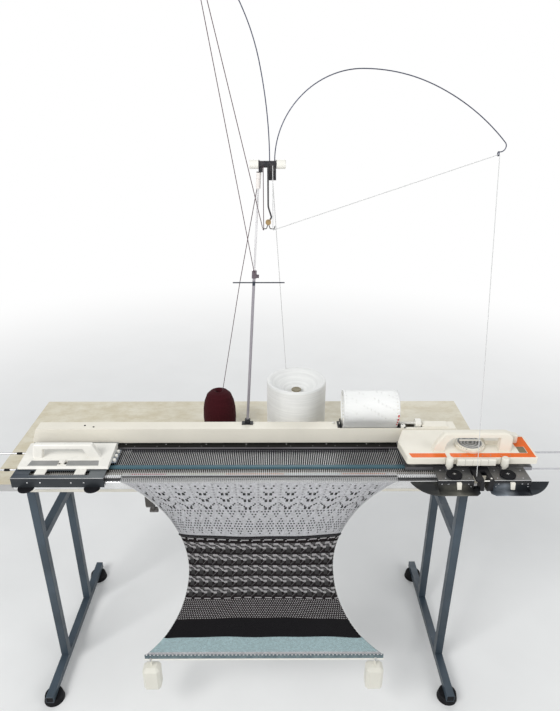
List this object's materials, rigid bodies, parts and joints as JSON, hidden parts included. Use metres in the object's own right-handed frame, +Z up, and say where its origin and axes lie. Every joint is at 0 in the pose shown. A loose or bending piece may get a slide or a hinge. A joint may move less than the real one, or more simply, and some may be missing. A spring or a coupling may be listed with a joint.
{
  "type": "domestic knitting machine",
  "caption": "Home knitting machine on its stand, with punch card reader, two sliding carriages, yarn mast and knitting in progress.",
  "frame": {"origin": "on the floor under the centre of the whole object's box", "axes": "+X along the needle bed to the knitter's right, +Y away from the knitter, +Z up"},
  "size_m": [1.58, 0.587, 1.8835],
  "materials": {
    "table_board": "satin laminate",
    "stand_paint": "satin paint",
    "black_rubber": "matt",
    "case_plastic": "fine satin",
    "bed_metal": "slotted metal",
    "steel": "brushed",
    "needle_steel": "polished",
    "card_plastic": "thin plastic card",
    "dark_plastic": "satin",
    "white_plastic": "gloss",
    "dial_plastic": "satin",
    "button_plastic": "gloss",
    "white_wool": "wool",
    "dark_wool": "wool",
    "knitting": "knitted",
    "comb_plastic": "satin",
    "weight_iron": "painted",
    "clamp_metal": "satin paint"
  },
  "bodies": {
    "machine": {"table_top": "table_board", "leg_frames": "stand_paint", "foot_bars": "stand_paint", "rubber_feet": "black_rubber", "machine_base": "case_plastic", "needle_bed": "bed_metal", "rear_rail": "steel", "needle_retainer_bar": "steel", "front_rail": "steel", "rear_cover": "case_plastic", "extension_rails": "steel", "punch_card": "card_plastic", "card_reader_frame": "dark_plastic", "mast_bracket": "dark_plastic", "mast_rods": "steel", "tension_unit": "dark_plastic", "take_up_wire_left": "steel", "take_up_wire_right": "steel", "white_yarn_package": "white_wool", "dark_yarn_cake": "dark_wool", "white_yarn": "white_wool", "feed_yarn": "white_wool", "dark_yarn": "dark_wool", "knitted_fabric": "knitting", "cast_on_comb": "comb_plastic", "clamp_frames": "clamp_metal"},
    "working_needle_group": {"working_needles": "needle_steel"},
    "idle_needle_group": {"idle_needles": "needle_steel"},
    "k_carriage": {"k_body": "case_plastic", "k_handle": "case_plastic", "k_cam_plate": "steel", "k_thumb_screws": "white_plastic", "sinker_frame": "steel", "yarn_feeder": "dark_plastic"},
    "l_carriage": {"l_plate": "steel", "l_body": "white_plastic", "l_presser_pads": "black_rubber"},
    "k_tension_dial_body": {"k_tension_dial": "dial_plastic"},
    "k_change_knob_body": {"k_change_knob": "white_plastic"},
    "weaving_lever_left_body": {"weaving_lever_left": "white_plastic"},
    "weaving_lever_right_body": {"weaving_lever_right": "white_plastic"},
    "brush_disc_left_body": {"brush_disc_left": "dark_plastic"},
    "brush_disc_right_body": {"brush_disc_right": "dark_plastic"},
    "l_selector_body": {"l_selector": "white_plastic"},
    "card_feed_knob_body": {"card_feed_knob": "white_plastic"},
    "card_lock_lever_body": {"card_lock_lever": "white_plastic"},
    "tension_knob_left_body": {"tension_knob_left": "white_plastic"},
    "tension_knob_right_body": {"tension_knob_right": "white_plastic"},
    "claw_weight_left_body": {"claw_weight_left": "weight_iron"},
    "claw_weight_right_body": {"claw_weight_right": "weight_iron"},
    "clamp_pad_left_body": {"clamp_pad_left": "clamp_metal"},
    "clamp_pad_right_body": {"clamp_pad_right": "clamp_metal"},
    "clamp_screw_left_body": {"clamp_screw_left": "steel"},
    "clamp_screw_right_body": {"clamp_screw_right": "steel"},
    "k_button_1_body": {"k_button_1": "button_plastic"},
    "k_button_2_body": {"k_button_2": "button_plastic"},
    "k_button_3_body": {"k_button_3": "button_plastic"},
    "k_button_4_body": {"k_button_4": "button_plastic"},
    "k_button_5_body": {"k_button_5": "button_plastic"}
  },
  "joints": [
    {"name": "k_carriage_slide", "type": "slide", "parent": "machine", "child": "k_carriage", "axis": [1, 0, 0], "range_m": [-0.66, 0.09], "deforming": ["feed_yarn"]},
    {"name": "l_carriage_slide", "type": "slide", "parent": "machine", "child": "l_carriage", "axis": [-1, 0, 0], "range_m": [-0.66, 0.2]},
    {"name": "working_needles_slide", "type": "slide", "parent": "machine", "child": "working_needle_group", "axis": [0, -1, 0], "range_m": [0, 0.04]},
    {"name": "idle_needles_slide", "type": "slide", "parent": "machine", "child": "idle_needle_group", "axis": [0, -1, 0], "range_m": [0, 0.018]},
    {"name": "k_tension_dial_turn", "type": "hinge", "parent": "k_carriage", "child": "k_tension_dial_body", "pos_m": [0.53, -0.1795, 0.85], "axis": [0, 0, 1], "range_deg": [-150, 150]},
    {"name": "k_change_knob_turn", "type": "hinge", "parent": "k_carriage", "child": "k_change_knob_body", "pos_m": [0.64, -0.1605, 0.85], "axis": [0, 0, 1], "range_deg": [-90, 90]},
    {"name": "k_button_1_press", "type": "slide", "parent": "k_carriage", "child": "k_button_1_body", "axis": [0, 1, 0], "range_m": [0, 0.004], "stiffness_N_per_m": 300},
    {"name": "k_button_2_press", "type": "slide", "parent": "k_carriage", "child": "k_button_2_body", "axis": [0, 1, 0], "range_m": [0, 0.004], "stiffness_N_per_m": 300},
    {"name": "k_button_3_press", "type": "slide", "parent": "k_carriage", "child": "k_button_3_body", "axis": [0, 1, 0], "range_m": [0, 0.004], "stiffness_N_per_m": 300},
    {"name": "k_button_4_press", "type": "slide", "parent": "k_carriage", "child": "k_button_4_body", "axis": [0, 1, 0], "range_m": [0, 0.004], "stiffness_N_per_m": 300},
    {"name": "k_button_5_press", "type": "slide", "parent": "k_carriage", "child": "k_button_5_body", "axis": [0, 1, 0], "range_m": [0, 0.004], "stiffness_N_per_m": 300},
    {"name": "weaving_lever_left_swing", "type": "hinge", "parent": "k_carriage", "child": "weaving_lever_left_body", "pos_m": [0.484, -0.2745, 0.813], "axis": [0, 1, 0], "range_deg": [-30, 30]},
    {"name": "weaving_lever_right_swing", "type": "hinge", "parent": "k_carriage", "child": "weaving_lever_right_body", "pos_m": [0.604, -0.2745, 0.813], "axis": [0, 1, 0], "range_deg": [-30, 30]},
    {"name": "brush_disc_left_spin", "type": "hinge", "parent": "k_carriage", "child": "brush_disc_left_body", "pos_m": [0.4775, -0.2555, 0.82], "axis": [0, 0, 1], "continuous": true},
    {"name": "brush_disc_right_spin", "type": "hinge", "parent": "k_carriage", "child": "brush_disc_right_body", "pos_m": [0.5986, -0.2555, 0.82], "axis": [0, 0, 1], "continuous": true},
    {"name": "l_selector_slide", "type": "slide", "parent": "l_carriage", "child": "l_selector_body", "axis": [1, 0, 0], "range_m": [-0.005, 0.005]},
    {"name": "card_feed_turn", "type": "hinge", "parent": "machine", "child": "card_feed_knob_body", "pos_m": [0.43, -0.0785, 0.852], "axis": [1, 0, 0], "continuous": true},
    {"name": "card_lock_swing", "type": "hinge", "parent": "machine", "child": "card_lock_lever_body", "pos_m": [0.396, -0.07, 0.855], "axis": [1, 0, 0], "range_deg": [-25, 25]},
    {"name": "tension_knob_left_turn", "type": "hinge", "parent": "machine", "child": "tension_knob_left_body", "pos_m": [0.028, -0.0705, 1.474], "axis": [1, 0, 0], "range_deg": [-150, 150]},
    {"name": "tension_knob_right_turn", "type": "hinge", "parent": "machine", "child": "tension_knob_right_body", "pos_m": [0.086, -0.0705, 1.474], "axis": [1, 0, 0], "range_deg": [-150, 150]},
    {"name": "claw_weight_left_swing", "type": "hinge", "parent": "machine", "child": "claw_weight_left_body", "pos_m": [-0.262, -0.2559, 0.2273], "axis": [1, 0, 0], "range_deg": [-30, 30]},
    {"name": "claw_weight_right_swing", "type": "hinge", "parent": "machine", "child": "claw_weight_right_body", "pos_m": [0.339, -0.2559, 0.2273], "axis": [1, 0, 0], "range_deg": [-30, 30]},
    {"name": "clamp_pad_left_travel", "type": "slide", "parent": "machine", "child": "clamp_pad_left_body", "axis": [0, 0, 1], "range_m": [-0.008, 0]},
    {"name": "clamp_screw_left_turn", "type": "hinge", "parent": "clamp_pad_left_body", "child": "clamp_screw_left_body", "pos_m": [-0.234, -0.1625, 0.688], "axis": [0, 0, 1], "range_deg": [-1440, 0]},
    {"name": "clamp_pad_right_travel", "type": "slide", "parent": "machine", "child": "clamp_pad_right_body", "axis": [0, 0, 1], "range_m": [-0.008, 0]},
    {"name": "clamp_screw_right_turn", "type": "hinge", "parent": "clamp_pad_right_body", "child": "clamp_screw_right_body", "pos_m": [0.234, -0.1625, 0.688], "axis": [0, 0, 1], "range_deg": [-1440, 0]}
  ],
  "couplings": [
    {"joint": "clamp_screw_left_turn", "follows": "clamp_pad_left_travel", "rad_per_m": 3141.6},
    {"joint": "clamp_screw_right_turn", "follows": "clamp_pad_right_travel", "rad_per_m": 3141.6}
  ]
}
